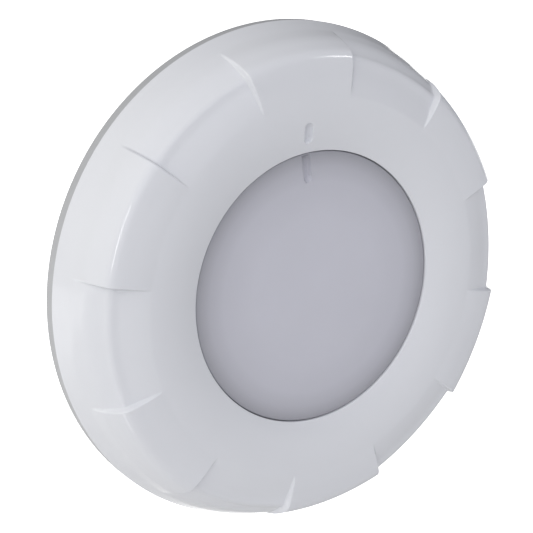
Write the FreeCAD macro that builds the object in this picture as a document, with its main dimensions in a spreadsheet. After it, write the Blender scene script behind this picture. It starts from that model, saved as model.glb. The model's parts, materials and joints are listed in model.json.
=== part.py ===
import FreeCAD, Part
import math
import os
import Sketcher

# Surface-mounted underwater pool light.
#
# The frame: the wall is the plane Y = 0, the light faces -Y, and +Z is up. Every sub-part is drawn in
# bench coordinates, x to the right, y up and z out of the wall, and FACING turns them onto the wall.
# Radii are measured from the light's own axis. Azimuth 90 is the top of the light.

os.makedirs("parts", exist_ok=True)

FACING = FreeCAD.Rotation(FreeCAD.Vector(1, 0, 0), 90)
TOP = 90
FULL_TURN = 360

# Driving dimensions, in millimetres and degrees.
DIMENSIONS = {
    # trim ring, outside
    "ring_radius": 140.0,
    "rim_depth": 6.6,
    "ring_wall": 3.0,
    "shoulder_radius": 125.6,
    "shoulder_depth": 32.4,
    "brow_radius": 120.4,
    "brow_depth": 37.5,
    "shoulder_bend": 8.0,
    "crown_radius": 101.0,
    "crown_depth": 43.1,
    "crown_outer_bend": 36.4,
    "crown_inner_bend": 112.6,
    "lip_crest_radius": 80.4,
    "lip_crest_depth": 41.2,
    "lip_bend": 5.5,
    "opening_radius": 75.1,
    "lip_edge_depth": 36.6,
    "lip_back_depth": 35.6,
    # raised sectors of the trim ring
    "sector_span": 30.0,
    "sector_step": 2.8,
    "sector_foot_depth": 12.8,
    "sector_head_radius": 105.0,
    # trim ring, inside
    "skirt_radius": 110.0,
    "skirt_wall": 2.5,
    "skirt_back": 20.0,
    "ring_lug_radius": 104.0,
    "ring_lug_front": 23.6,
    "ring_rib_wall": 2.0,
    "ring_rib_back": 24.0,
    # twist locks
    "lug_span": 24.0,
    "hook_span": 26.0,
    "stop_span": 2.0,
    "stop_turn": 13.25,
    "lock_gap": 0.4,
    # alignment marks
    "mark_width": 4.6,
    "mark_inner_radius": 82.6,
    "mark_outer_radius": 89.6,
    "mark_floor": 41.0,
    "lens_mark_inner_radius": 59.5,
    "lens_mark_outer_radius": 76.0,
    "lens_mark_floor": 36.3,
    # wall bracket
    "bracket_radius": 122.0,
    "bracket_plate": 4.0,
    "bracket_rim_wall": 2.5,
    "bracket_rim_front": 9.0,
    "bracket_hub_radius": 32.0,
    "bracket_hub_wall": 3.0,
    "bracket_rib_front": 8.7,
    "bracket_rib_wall": 2.0,
    "hook_lip_radius": 99.5,
    "hook_post_radius": 104.0,
    "hook_wall": 3.5,
    "hook_front": 17.0,
    "wall_screw_radius": 98.0,
    "wall_screw_hole": 2.75,
    "drain_radius": 64.0,
    "drain_width": 10.0,
    "drain_span": 26.0,
    # housing
    "housing_radius": 96.0,
    "housing_back": 9.0,
    "housing_wall": 2.5,
    "housing_lug_radius": 103.0,
    "housing_lug_back": 10.0,
    "flange_radius": 100.0,
    "flange_back": 26.0,
    "flange_front": 33.7,
    "seat_radius": 80.5,
    "seat_depth": 31.0,
    "collar_radius": 87.0,
    "cover_lug_radius": 107.0,
    "cover_lug_front": 27.0,
    "well_radius": 26.0,
    "well_floor": 18.0,
    # lens and its seal
    "lens_flange_radius": 86.0,
    "lens_flange_front": 34.0,
    "lens_rim_radius": 79.0,
    "lens_foot_radius": 77.0,
    "lens_flat_radius": 52.0,
    "lens_margin_bend": 95.0,
    "lens_front": 37.8,
    "lens_wall": 3.5,
    "lens_pocket_radius": 62.0,
    "seal_radius": 83.5,
    "seal_section": 1.25,
    "seal_groove_width": 3.6,
    # lens clamp ring and its screws
    "clamp_inner_radius": 80.0,
    "clamp_outer_radius": 99.5,
    "clamp_wall": 2.8,
    "clamp_screw_circle": 92.0,
    "clamp_screw_shank": 1.9,
    "clamp_screw_head": 3.6,
    "clamp_countersink_wall": 1.9,
    "clamp_screw_end": 27.5,
    # heat sink, thermal pad and LED board
    "heat_sink_radius": 80.0,
    "heat_sink_back": 26.5,
    "heat_sink_wall": 3.0,
    "post_circle": 75.5,
    "post_radius": 4.0,
    "sink_screw_shank": 1.4,
    "sink_screw_head": 2.8,
    "sink_screw_end": 20.0,
    "pad_radius": 68.0,
    "pad_wall": 0.3,
    "led_board_radius": 69.0,
    "led_board_wall": 1.6,
    "led_size": 3.5,
    "led_wall": 0.8,
    "led_dome_radius": 1.4,
    "led_dome_height": 0.5,
    "board_screw_circle": 48.5,
    "board_screw_head": 2.6,
    "countersink_wall": 1.6,
    # driver
    "driver_inner_radius": 32.0,
    "driver_outer_radius": 70.0,
    "driver_back": 14.0,
    "driver_wall": 1.6,
    "driver_post_circle": 64.0,
    "driver_post_radius": 3.5,
    # what stands on the driver board
    "terminal_length": 10.0,
    "terminal_width": 20.0,
    "terminal_height": 8.5,
    "terminal_place": -52.0,
    "terminal_screw_radius": 1.8,
    "terminal_screw_place": 5.0,
    "rectifier_length": 12.0,
    "rectifier_width": 10.0,
    "rectifier_height": 4.0,
    "rectifier_place": 36.0,
    "chip_length": 7.5,
    "chip_width": 5.0,
    "chip_height": 1.7,
    "chip_place": -50.0,
    "can_radius": 5.0,
    "can_height": 10.5,
    "can_edge": 0.8,
    "can_circle": 52.0,
    "choke_radius": 8.0,
    "choke_core": 4.0,
    "choke_flange": 1.5,
    "choke_height": 9.5,
    "coil_radius": 7.2,
    "choke_circle": 51.0,
    "fuse_radius": 2.7,
    "fuse_length": 13.0,
    "varistor_radius": 4.8,
    "varistor_wall": 3.2,
    "small_parts_circle": 50.0,
    # internal leads
    "lead_radius": 0.7,
    "lead_place": 34.5,
    "lead_spread": 2.0,
    "lead_bend": 2.2,
    "lead_tail": 5.0,
    "lead_hole": 3.6,
    # cable gland
    "gland_shank": 8.0,
    "gland_shank_front": 25.5,
    "gland_bore": 4.4,
    "gland_collar_back": 12.5,
    "gland_socket": 7.6,
    "gland_socket_floor": 11.5,
    "gland_thread": 9.0,
    "gland_thread_back": 5.5,
    "gland_hex": 23.0,
    "cable_hole": 4.1,
    "gland_seal_radius": 7.5,
    "gland_nut_back": 2.5,
    "gland_nut_front": 12.2,
    "gland_nut_hex": 25.0,
    "lock_nut_hex": 22.0,
    "lock_nut_wall": 3.5,
    "gland_ring_radius": 9.6,
    "gland_ring_section": 0.6,
    # running gap of a plain shank in its hole
    "thread_gap": 0.03,
}

# The rings of LEDs: circle radius, count and first azimuth.
LED_RINGS = ((20, 6, 30), (40, 12, 15), (58, 18, 10))


class Size:
    """A dimension's value together with the sheet formula that drives it."""

    def __init__(self, value, formula):
        self.value = value
        self.formula = formula

    def joined(self, other, sign, value):
        return Size(value, f"({self.formula} {sign} {size(other).formula})")

    def __add__(self, other):
        return self.joined(other, "+", self.value + size(other).value)

    def __sub__(self, other):
        return self.joined(other, "-", self.value - size(other).value)

    def __mul__(self, other):
        return self.joined(other, "*", self.value * size(other).value)

    def __truediv__(self, other):
        return self.joined(other, "/", self.value / size(other).value)


class Sheet:
    """The driving dimensions as attributes, each a Size bound to its cell."""


def size(number):
    """A plain number as a Size; a Size as it is."""
    if isinstance(number, Size):
        return number
    return Size(float(number), repr(float(number)))


def bind(target, path, amount):
    """Sets a property path of an object to a dimension's formula."""
    target.setExpression(path, size(amount).formula)


document = FreeCAD.newDocument("pool_light")
cells = document.addObject("Spreadsheet::Sheet", "Dimensions")
dim = Sheet()
for row, (alias, number) in enumerate(DIMENSIONS.items(), start=1):
    cells.set(f"A{row}", alias)
    cells.set(f"B{row}", str(number))
    cells.setAlias(f"B{row}", alias)
    setattr(dim, alias, Size(number, f"Dimensions.{alias}"))
document.recompute()

nodes = []


# ---------------------------------------------------------------- modelling helpers


def origin_feature(body, role):
    """One of a body's own origin planes or axes."""
    return next(f for f in body.Origin.OriginFeatures if f.Role == role)


def new_body(label):
    """An empty body standing on the wall, which may hold several solids."""
    body = document.addObject("PartDesign::Body", label)
    body.Label = label
    body.AllowCompound = True
    body.Placement = FreeCAD.Placement(FreeCAD.Vector(), FACING)
    nodes.append(body)
    return body


def section_sketch(body, name, azimuth=0, radius=0):
    """A sketch in the radial plane at an azimuth: x is the distance from the axis, less radius, y is z."""
    sketch = body.newObject("Sketcher::SketchObject", name)
    sketch.AttachmentSupport = [(origin_feature(body, "XZ_Plane"), "")]
    sketch.MapMode = "FlatFace"
    turn = FreeCAD.Rotation(FreeCAD.Vector(0, 1, 0), azimuth)
    sketch.AttachmentOffset = FreeCAD.Placement(FreeCAD.Vector(), turn)
    if size(radius).value:
        bind(sketch, "AttachmentOffset.Base.x", size(radius) * math.cos(math.radians(azimuth)))
        bind(sketch, "AttachmentOffset.Base.z", size(radius) * -math.sin(math.radians(azimuth)))
    return sketch


def face_sketch(body, name, depth):
    """A sketch parallel to the wall, at a distance from it."""
    sketch = body.newObject("Sketcher::SketchObject", name)
    sketch.AttachmentSupport = [(origin_feature(body, "XY_Plane"), "")]
    sketch.MapMode = "FlatFace"
    bind(sketch, "AttachmentOffset.Base.z", depth)
    return sketch


def bend(x, y, radius):
    """A corner that an arc of that radius leads to, bulging to the right of the way it is drawn."""
    return (x, y, radius)


def arc_between(start, end, radius):
    """The arc from start to end, bulging to the right, as geometry and its two end numbers."""
    chord = end - start
    sagging = math.sqrt(max(radius**2 - (chord.Length / 2) ** 2, 0.0))
    left = FreeCAD.Vector(-chord.y, chord.x, 0).normalize()
    centre = (start + end) / 2 + left * sagging
    first = math.atan2(start.y - centre.y, start.x - centre.x)
    last = math.atan2(end.y - centre.y, end.x - centre.x)
    if last < first:
        last += 2 * math.pi
    circle = Part.Circle(centre, FreeCAD.Vector(0, 0, 1), radius)
    return Part.ArcOfCircle(circle, first, last)


def pin_point(sketch, geometry, vertex, x, y, name):
    """Dimensions a vertex from the sketch's origin, with formulas."""
    for kind, amount, axis in (("DistanceX", x, -2), ("DistanceY", y, -1)):
        if size(amount).value == 0:
            sketch.addConstraint(Sketcher.Constraint("PointOnObject", geometry, vertex, axis))
            continue
        rule = Sketcher.Constraint(kind, -1, 1, geometry, vertex, size(amount).value)
        index = sketch.addConstraint(rule)
        label = f"{name}_{kind[-1].lower()}"
        sketch.renameConstraint(index, label)
        bind(sketch, f"Constraints.{label}", amount)


def draw_outline(sketch, corners, prefix="p"):
    """A closed outline, counterclockwise, with straight sides or the arcs that bend() asks for."""
    points = [FreeCAD.Vector(size(c[0]).value, size(c[1]).value, 0) for c in corners]
    first = sketch.GeometryCount
    count = len(corners)
    for i, start in enumerate(points):
        following = corners[(i + 1) % count]
        end = points[(i + 1) % count]
        if len(following) == 3:
            sketch.addGeometry(arc_between(start, end, size(following[2]).value), False)
        else:
            sketch.addGeometry(Part.LineSegment(start, end), False)
    for i, corner in enumerate(corners):
        following = (i + 1) % count
        sketch.addConstraint(Sketcher.Constraint("Coincident", first + i, 2, first + following, 1))
        pin_point(sketch, first + i, 1, corner[0], corner[1], f"{prefix}{i}")
        if len(corners[following]) == 3:
            radius = size(corners[following][2])
            index = sketch.addConstraint(Sketcher.Constraint("Radius", first + i, radius.value))
            sketch.renameConstraint(index, f"{prefix}{i}_bend")
            bind(sketch, f"Constraints.{prefix}{i}_bend", radius)


def draw_circle(sketch, radius, x=0, y=0, prefix="c"):
    """A circle with its centre and radius dimensioned."""
    centre = FreeCAD.Vector(size(x).value, size(y).value, 0)
    circle = Part.Circle(centre, FreeCAD.Vector(0, 0, 1), size(radius).value)
    index = sketch.addGeometry(circle, False)
    pin_point(sketch, index, 3, x, y, prefix)
    rule = sketch.addConstraint(Sketcher.Constraint("Radius", index, size(radius).value))
    sketch.renameConstraint(rule, f"{prefix}_radius")
    bind(sketch, f"Constraints.{prefix}_radius", radius)


def draw_hexagon(sketch, across_flats):
    """A regular hexagon about the sketch's origin."""
    reach = size(across_flats) / math.sqrt(3)
    corners = []
    for i in range(6):
        angle = math.radians(60 * i)
        corners.append((reach * math.cos(angle), reach * round(math.sin(angle), 12)))
    draw_outline(sketch, corners, "hex")


def box_corners(x0, x1, y0, y1):
    """A rectangle's corners, counterclockwise."""
    return [(x0, y0), (x1, y0), (x1, y1), (x0, y1)]


def turned(body, name, corners, angle=FULL_TURN, azimuth=0, radius=0, kind="Revolution"):
    """Revolves an outline about the upright axis at a place: a full turn, or a block centred there."""
    sketch = section_sketch(body, f"{name}_outline", azimuth, radius)
    draw_outline(sketch, corners)
    feature = body.newObject(f"PartDesign::{kind}", name)
    feature.Profile = sketch
    feature.ReferenceAxis = (sketch, ["V_Axis"])
    feature.Midplane = True
    bind(feature, "Angle", angle)
    body.Tip = feature
    return feature


def turned_cut(body, name, corners, angle=FULL_TURN, azimuth=0, radius=0):
    """Removes what turned() would add."""
    return turned(body, name, corners, angle, azimuth, radius, "Groove")


def padded(body, name, sketch, length, midplane=False):
    """Pads a sketch along its normal, or half each way."""
    feature = body.newObject("PartDesign::Pad", name)
    feature.Profile = sketch
    bind(feature, "Length", length)
    if midplane:
        feature.SideType = "Symmetric"
    body.Tip = feature
    return feature


def around(body, name, features, count, angle=FULL_TURN):
    """Repeats features about the light's axis."""
    document.recompute()
    pattern = body.newObject("PartDesign::PolarPattern", name)
    pattern.Originals = features
    pattern.Axis = (origin_feature(body, "Z_Axis"), [""])
    pattern.Angle = angle
    pattern.Occurrences = count
    body.Tip = pattern
    return pattern


def washer(label, inner, outer, back, front):
    """A body that is one flat ring."""
    body = new_body(label)
    turned(body, "ring", box_corners(inner, outer, back, front))
    return body


def hex_collar(body, name, across_flats, hole, back, length):
    """A hexagonal collar with a round hole, for a spanner."""
    sketch = face_sketch(body, f"{name}_outline", back)
    draw_hexagon(sketch, across_flats)
    draw_circle(sketch, hole)
    return padded(body, name, sketch, length)


def round_holes(body, name, count, circle, radius, back, front, azimuth=0):
    """Round holes on a circle, cut from back to front."""
    hole = turned_cut(body, name, box_corners(0, radius, back, front), azimuth=azimuth, radius=circle)
    return around(body, f"{name}_set", [hole], count)


def marking_groove(body, name, inner_radius, outer_radius, floor_depth):
    """A round-ended groove at twelve o'clock, open at the front."""
    half = dim.mark_width / 2
    inner = inner_radius + half
    outer = outer_radius - half
    end_bend = half * 1.04
    sketch = face_sketch(body, f"{name}_outline", floor_depth)
    draw_outline(
        sketch,
        [
            (half * -1, inner),
            bend(half, inner, end_bend),
            (half, outer),
            bend(half * -1, outer, end_bend),
        ],
    )
    pocket = body.newObject("PartDesign::Pocket", name)
    pocket.Profile = sketch
    pocket.Reversed = True
    bind(pocket, "Length", dim.crown_depth - floor_depth + 1)
    body.Tip = pocket


def box_part(label, length, width, height, x, y, back):
    """A block standing on a board, centred on x and y."""
    part = document.addObject("Part::Box", label)
    part.Label = label
    bind(part, "Length", length)
    bind(part, "Width", width)
    bind(part, "Height", height)
    part.Placement = FreeCAD.Placement(FreeCAD.Vector(), FACING)
    bind(part, "Placement.Base.x", size(x) - size(length) / 2)
    bind(part, "Placement.Base.y", size(0) - back)
    bind(part, "Placement.Base.z", size(y) - size(width) / 2)
    nodes.append(part)
    return part


def screw_set(label, count, circle, azimuth, head, shank, seat, end, head_wall, sunk):
    """Identical screws on a circle, each with a cross recess; their heads face the front."""
    body = new_body(label)
    if sunk:
        top = size(seat)
        outline = [(0, end), (shank, end), (shank, top - head_wall), (head, top), (0, top)]
    else:
        top = size(seat) + head_wall
        outline = [(0, end), (shank, end), (shank, seat), (head, seat), (head, top), (0, top)]
    screw = turned(body, "screw", outline, azimuth=azimuth, radius=circle)
    features = [screw]
    for number, (long_way, short_way) in enumerate(((1.1, 0.28), (0.28, 1.1))):
        sketch = face_sketch(body, f"recess_{number}_outline", top)
        reach_x = size(circle) * math.cos(math.radians(azimuth))
        reach_y = size(circle) * round(math.sin(math.radians(azimuth)), 12)
        corners = box_corners(
            reach_x - shank * long_way,
            reach_x + shank * long_way,
            reach_y - shank * short_way,
            reach_y + shank * short_way,
        )
        draw_outline(sketch, corners)
        pocket = body.newObject("PartDesign::Pocket", f"recess_{number}")
        pocket.Profile = sketch
        bind(pocket, "Length", size(head_wall) * 0.6)
        body.Tip = pocket
        features.append(pocket)
    around(body, "screws", features, count)
    return body


# ---------------------------------------------------------------- wall bracket


def wall_bracket():
    """The plate that is screwed to the pool wall, with the three hooks of the first twist lock."""
    body = new_body("wall_bracket")
    hub = dim.bracket_hub_radius
    hub_outer = hub + dim.bracket_hub_wall
    rim_inner = dim.bracket_radius - dim.bracket_rim_wall
    plate = dim.bracket_plate
    turned(
        body,
        "plate",
        [
            (hub, 0),
            (dim.bracket_radius, 0),
            (dim.bracket_radius, dim.bracket_rim_front),
            (rim_inner, dim.bracket_rim_front),
            (rim_inner, plate),
            (hub_outer, plate),
            (hub_outer, dim.bracket_rib_front),
            (hub, dim.bracket_rib_front),
        ],
    )
    rib_sketch = section_sketch(body, "rib_outline", azimuth=15)
    rib_end = dim.hook_lip_radius - 6
    draw_outline(rib_sketch, box_corners(hub_outer - 1, rib_end, plate - 1, dim.bracket_rib_front))
    rib = padded(body, "rib", rib_sketch, dim.bracket_rib_wall, midplane=True)
    around(body, "ribs", [rib], 12)

    root = plate - 1
    post_outer = dim.hook_post_radius + dim.hook_wall
    lip_back = dim.hook_front - 3.6
    post = turned(
        body,
        "hook_post",
        box_corners(dim.hook_post_radius, post_outer, root, dim.hook_front),
        dim.hook_span,
        TOP,
    )
    lip = turned(
        body,
        "hook_lip",
        box_corners(dim.hook_lip_radius, dim.hook_post_radius + 1, lip_back, dim.hook_front),
        dim.hook_span,
        TOP,
    )
    stop = turned(
        body,
        "hook_stop",
        box_corners(dim.hook_lip_radius - 2, post_outer, root, dim.hook_front),
        dim.stop_span,
        TOP - DIMENSIONS["stop_turn"],
    )
    around(body, "hooks", [post, lip, stop], 3)

    round_holes(body, "wall_screw_hole", 3, dim.wall_screw_radius, dim.wall_screw_hole, -1, plate + 1, 30)
    drain = turned_cut(
        body,
        "drain_slot",
        box_corners(dim.drain_radius, dim.drain_radius + dim.drain_width, -1, plate + 1),
        dim.drain_span,
    )
    around(body, "drain_slots", [drain], 12)


# ---------------------------------------------------------------- light unit: housing and gland


def housing():
    """The sealed tub behind the lens, with the lugs of both twist locks."""
    body = new_body("housing")
    back = dim.housing_back
    wall = dim.housing_wall
    inner = dim.housing_radius - wall
    well_outer = dim.well_radius + wall
    shank_hole = dim.gland_shank + 0.1
    seat = dim.seat_depth
    groove_in = dim.seal_radius - dim.seal_groove_width / 2
    groove_out = dim.seal_radius + dim.seal_groove_width / 2
    groove_floor = seat - dim.seal_section * 2
    turned(
        body,
        "tub",
        [
            (shank_hole, dim.well_floor),
            (dim.well_radius, dim.well_floor),
            (dim.well_radius, back),
            (dim.housing_radius, back),
            (dim.housing_radius, dim.flange_back),
            (dim.flange_radius, dim.flange_back),
            (dim.flange_radius, dim.flange_front),
            (dim.collar_radius, dim.flange_front),
            (dim.collar_radius, seat),
            (groove_out, seat),
            (groove_out, groove_floor),
            (groove_in, groove_floor),
            (groove_in, seat),
            (dim.seat_radius, seat),
            (dim.seat_radius, dim.flange_back),
            (inner, dim.flange_back - 4),
            (inner, back + wall),
            (well_outer, back + wall),
            (well_outer, dim.well_floor + wall),
            (shank_hole, dim.well_floor + wall),
        ],
    )
    wall_root = dim.housing_radius - 0.5
    lug_back = dim.housing_lug_back
    lug = turned(
        body,
        "bracket_lug",
        box_corners(wall_root, dim.housing_lug_radius, lug_back, lug_back + 3),
        dim.lug_span,
        TOP,
    )
    around(body, "bracket_lugs", [lug], 3)
    cover_lug_back = dim.ring_lug_front + dim.lock_gap
    cover_lug = turned(
        body,
        "cover_lug",
        box_corners(wall_root, dim.cover_lug_radius, cover_lug_back, dim.cover_lug_front),
        dim.lug_span,
        TOP / 2,
    )
    cover_stop = turned(
        body,
        "cover_stop",
        box_corners(wall_root, dim.cover_lug_radius - 1, dim.skirt_back, dim.cover_lug_front),
        dim.stop_span,
        TOP / 2 - DIMENSIONS["stop_turn"],
    )
    around(body, "cover_lugs", [cover_lug, cover_stop], 4)

    floor_root = back + wall - 0.5
    post = turned(
        body,
        "sink_post",
        box_corners(0, dim.post_radius, floor_root, dim.heat_sink_back),
        azimuth=30,
        radius=dim.post_circle,
    )
    around(body, "sink_posts", [post], 6)
    driver_post = turned(
        body,
        "driver_post",
        box_corners(0, dim.driver_post_radius, floor_root, dim.driver_back),
        azimuth=45,
        radius=dim.driver_post_circle,
    )
    around(body, "driver_posts", [driver_post], 4)
    pilot = dim.sink_screw_shank + dim.thread_gap
    round_holes(body, "post_pilot", 6, dim.post_circle, pilot, dim.sink_screw_end - 1, 28, 30)
    round_holes(body, "driver_pilot", 4, dim.driver_post_circle, pilot, back + wall - 0.2, 16, 45)
    clamp_pilot = dim.clamp_screw_shank + dim.thread_gap
    clamp_floor = dim.clamp_screw_end - 0.5
    round_holes(body, "clamp_pilot", 12, dim.clamp_screw_circle, clamp_pilot, clamp_floor, 35, 15)


def gland_body():
    """The gland's threaded body, passed through the floor of the housing's well."""
    body = new_body("gland_body")
    bore = dim.gland_bore
    collar = dim.gland_hex / 2 - 0.5
    turned(
        body,
        "barrel",
        [
            (bore, dim.gland_socket_floor),
            (dim.gland_socket, dim.gland_socket_floor),
            (dim.gland_socket, dim.gland_thread_back),
            (dim.gland_thread, dim.gland_thread_back),
            (dim.gland_thread, dim.gland_collar_back),
            (collar, dim.gland_collar_back),
            (collar, dim.well_floor),
            (dim.gland_shank, dim.well_floor),
            (dim.gland_shank, dim.gland_shank_front),
            (bore, dim.gland_shank_front),
        ],
    )
    collar_length = dim.well_floor - dim.gland_collar_back
    hex_collar(body, "spanner_collar", dim.gland_hex, collar - 1, dim.gland_collar_back, collar_length)
    turned_cut(
        body,
        "seal_groove",
        box_corners(
            dim.gland_ring_radius - 0.9,
            dim.gland_ring_radius + 0.9,
            dim.well_floor - dim.gland_ring_section * 2,
            dim.well_floor + 1,
        ),
    )


def gland_seal():
    """The rubber sleeve that grips the cable."""
    back = dim.gland_thread_back + 0.3
    washer("gland_seal", dim.cable_hole, dim.gland_seal_radius, back, dim.gland_socket_floor)


def gland_nut():
    """The sealing nut that squeezes the sleeve round the cable."""
    body = new_body("gland_nut")
    thread = dim.gland_thread + 0.05
    outer = dim.gland_nut_hex / 2 - 0.6
    seat = dim.gland_thread_back
    turned(
        body,
        "dome",
        [
            (dim.gland_bore + 0.2, dim.gland_nut_back),
            (outer - 2.5, dim.gland_nut_back),
            bend(outer, dim.gland_nut_back + 2.5, 2.5),
            (outer, dim.gland_nut_front),
            (thread, dim.gland_nut_front),
            (thread, seat),
            (dim.gland_bore + 0.2, seat),
        ],
    )
    hex_back = dim.gland_nut_back + 3
    length = dim.gland_nut_front - hex_back
    hex_collar(body, "spanner_flats", dim.gland_nut_hex, outer - 1, hex_back, length)


def gland_lock_nut():
    """The nut that holds the gland from inside the housing."""
    body = new_body("gland_lock_nut")
    back = dim.well_floor + dim.housing_wall
    hex_collar(body, "nut", dim.lock_nut_hex, dim.gland_shank + 0.05, back, dim.lock_nut_wall)


def o_ring(label, radius, section, front):
    """A rubber ring whose front touches the plane at that distance from the wall."""
    ring = document.addObject("Part::Torus", label)
    ring.Label = label
    bind(ring, "Radius1", radius)
    bind(ring, "Radius2", section)
    ring.Placement = FreeCAD.Placement(FreeCAD.Vector(), FACING)
    bind(ring, "Placement.Base.y", section - front)
    nodes.append(ring)


# ---------------------------------------------------------------- light unit: driver


def driver_board():
    """The ring-shaped circuit board round the gland's well."""
    front = dim.driver_back + dim.driver_wall
    body = washer("driver_board", dim.driver_inner_radius, dim.driver_outer_radius, dim.driver_back, front)
    hole = dim.sink_screw_shank + 0.1
    round_holes(body, "screw_hole", 4, dim.driver_post_circle, hole, dim.driver_back - 1, front + 1, 45)


def driver_parts():
    """What stands on the driver board."""
    front = dim.driver_back + dim.driver_wall
    terminal = (dim.terminal_length, dim.terminal_width, dim.terminal_height)
    box_part("terminal_block", *terminal, dim.terminal_place, 0, front)
    rectifier = (dim.rectifier_length, dim.rectifier_width, dim.rectifier_height)
    box_part("bridge_rectifier", *rectifier, dim.rectifier_place * -1, dim.rectifier_place, front)
    box_part("driver_chip", dim.chip_length, dim.chip_width, dim.chip_height, 0, dim.chip_place, front)

    screws = new_body("terminal_screws")
    for side in (-1, 1):
        name = "lower_head" if side < 0 else "upper_head"
        sketch = face_sketch(screws, f"{name}_outline", front + dim.terminal_height)
        draw_circle(
            sketch, dim.terminal_screw_radius, dim.terminal_place, dim.terminal_screw_place * side
        )
        padded(screws, name, sketch, 0.8)

    cans = new_body("capacitors")
    shoulder = dim.can_radius - dim.can_edge
    top = front + dim.can_height
    outline = [
        (0, front),
        (dim.can_radius, front),
        (dim.can_radius, top - dim.can_edge),
        bend(shoulder, top, dim.can_edge),
        (0, top),
    ]
    can = turned(cans, "can", outline, azimuth=225, radius=dim.can_circle)
    around(cans, "can_pair", [can], 2, 20)

    coil_back = front + dim.choke_flange
    coil_front = front + dim.choke_height - dim.choke_flange
    core = new_body("choke_core")
    bobbin = [
        (0, front),
        (dim.choke_radius, front),
        (dim.choke_radius, coil_back),
        (dim.choke_core, coil_back),
        (dim.choke_core, coil_front),
        (dim.choke_radius, coil_front),
        (dim.choke_radius, front + dim.choke_height),
        (0, front + dim.choke_height),
    ]
    turned(core, "bobbin", bobbin, azimuth=300, radius=dim.choke_circle)
    winding = new_body("choke_winding")
    coil = box_corners(dim.choke_core, dim.coil_radius, coil_back, coil_front)
    turned(winding, "coil", coil, azimuth=300, radius=dim.choke_circle)

    fuse = new_body("fuse")
    sketch = section_sketch(fuse, "fuse_outline", TOP, dim.small_parts_circle)
    draw_circle(sketch, dim.fuse_radius, 0, front + dim.fuse_radius)
    padded(fuse, "fuse_tube", sketch, dim.fuse_length, midplane=True)

    varistor = new_body("varistor")
    sketch = section_sketch(varistor, "disc_outline", 60, dim.small_parts_circle)
    draw_circle(sketch, dim.varistor_radius, 0, front + dim.varistor_radius)
    padded(varistor, "disc", sketch, dim.varistor_wall, midplane=True)


def led_lead(label, offset):
    """One wire from the driver board, through the heat sink, to the LED board."""
    body = new_body(label)
    start = dim.driver_back + dim.driver_wall
    lying = dim.heat_sink_back + dim.heat_sink_wall + dim.pad_wall + dim.led_board_wall + dim.lead_radius
    place = dim.lead_place
    turn = dim.lead_bend

    path = body.newObject("Sketcher::SketchObject", "lead_path")
    path.AttachmentSupport = [(origin_feature(body, "XZ_Plane"), "")]
    path.MapMode = "FlatFace"
    bind(path, "AttachmentOffset.Base.z", size(offset) * -1)
    points = [
        FreeCAD.Vector(place.value, start.value, 0),
        FreeCAD.Vector(place.value, lying.value - turn.value, 0),
        FreeCAD.Vector(place.value - turn.value, lying.value, 0),
        FreeCAD.Vector(place.value - turn.value - dim.lead_tail.value, lying.value, 0),
    ]
    path.addGeometry(Part.LineSegment(points[0], points[1]), False)
    path.addGeometry(arc_between(points[1], points[2], turn.value), False)
    path.addGeometry(Part.LineSegment(points[2], points[3]), False)
    path.addConstraint(Sketcher.Constraint("Coincident", 0, 2, 1, 1))
    path.addConstraint(Sketcher.Constraint("Coincident", 1, 2, 2, 1))
    pin_point(path, 0, 1, place, start, "foot")
    pin_point(path, 1, 1, place, lying - turn, "rise")
    pin_point(path, 2, 1, place - turn, lying, "crest")
    pin_point(path, 2, 2, place - turn - dim.lead_tail, lying, "tail")
    index = path.addConstraint(Sketcher.Constraint("Radius", 1, turn.value))
    path.renameConstraint(index, "turn")
    bind(path, "Constraints.turn", turn)

    section = face_sketch(body, "lead_section", start)
    draw_circle(section, dim.lead_radius, place, offset)
    document.recompute()
    pipe = body.newObject("PartDesign::AdditivePipe", "lead")
    pipe.Profile = section
    pipe.Spine = (path, ["Edge1", "Edge2", "Edge3"])
    body.Tip = pipe


# ---------------------------------------------------------------- light unit: light engine


def lead_hole(body, back, front):
    """The passage for both leads."""
    sketch = face_sketch(body, "lead_hole_outline", back)
    draw_circle(sketch, dim.lead_hole, dim.lead_place, 0)
    pocket = body.newObject("PartDesign::Pocket", "lead_hole")
    pocket.Profile = sketch
    pocket.Reversed = True
    bind(pocket, "Length", size(front) - back)
    body.Tip = pocket


def heat_sink():
    """The aluminium plate that carries the LEDs' heat to the housing."""
    body = new_body("heat_sink")
    back = dim.heat_sink_back
    front = back + dim.heat_sink_wall
    turned(body, "plate", box_corners(0, dim.heat_sink_radius, back, front))
    lead_hole(body, back - 1, front + 1)
    shank = dim.sink_screw_shank + 0.1
    head = dim.sink_screw_head + 0.1
    seat = front - dim.countersink_wall
    countersink = [(0, back - 1), (shank, back - 1), (shank, seat), (head, front), (0, front)]
    hole = turned_cut(body, "sunk_hole", countersink, azimuth=30, radius=dim.post_circle)
    around(body, "sunk_holes", [hole], 6)
    pilot = dim.sink_screw_shank + dim.thread_gap
    round_holes(body, "board_pilot", 4, dim.board_screw_circle, pilot, back - 1, front + 1, 45)


def board_layer(label, radius, back, front):
    """A disc of the light engine, with the passages for the leads and the board's screws."""
    body = new_body(label)
    turned(body, "disc", box_corners(0, radius, back, front))
    lead_hole(body, back - 1, front + 1)
    hole = dim.sink_screw_shank + 0.1
    round_holes(body, "screw_hole", 4, dim.board_screw_circle, hole, back - 1, front + 1, 45)


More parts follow.
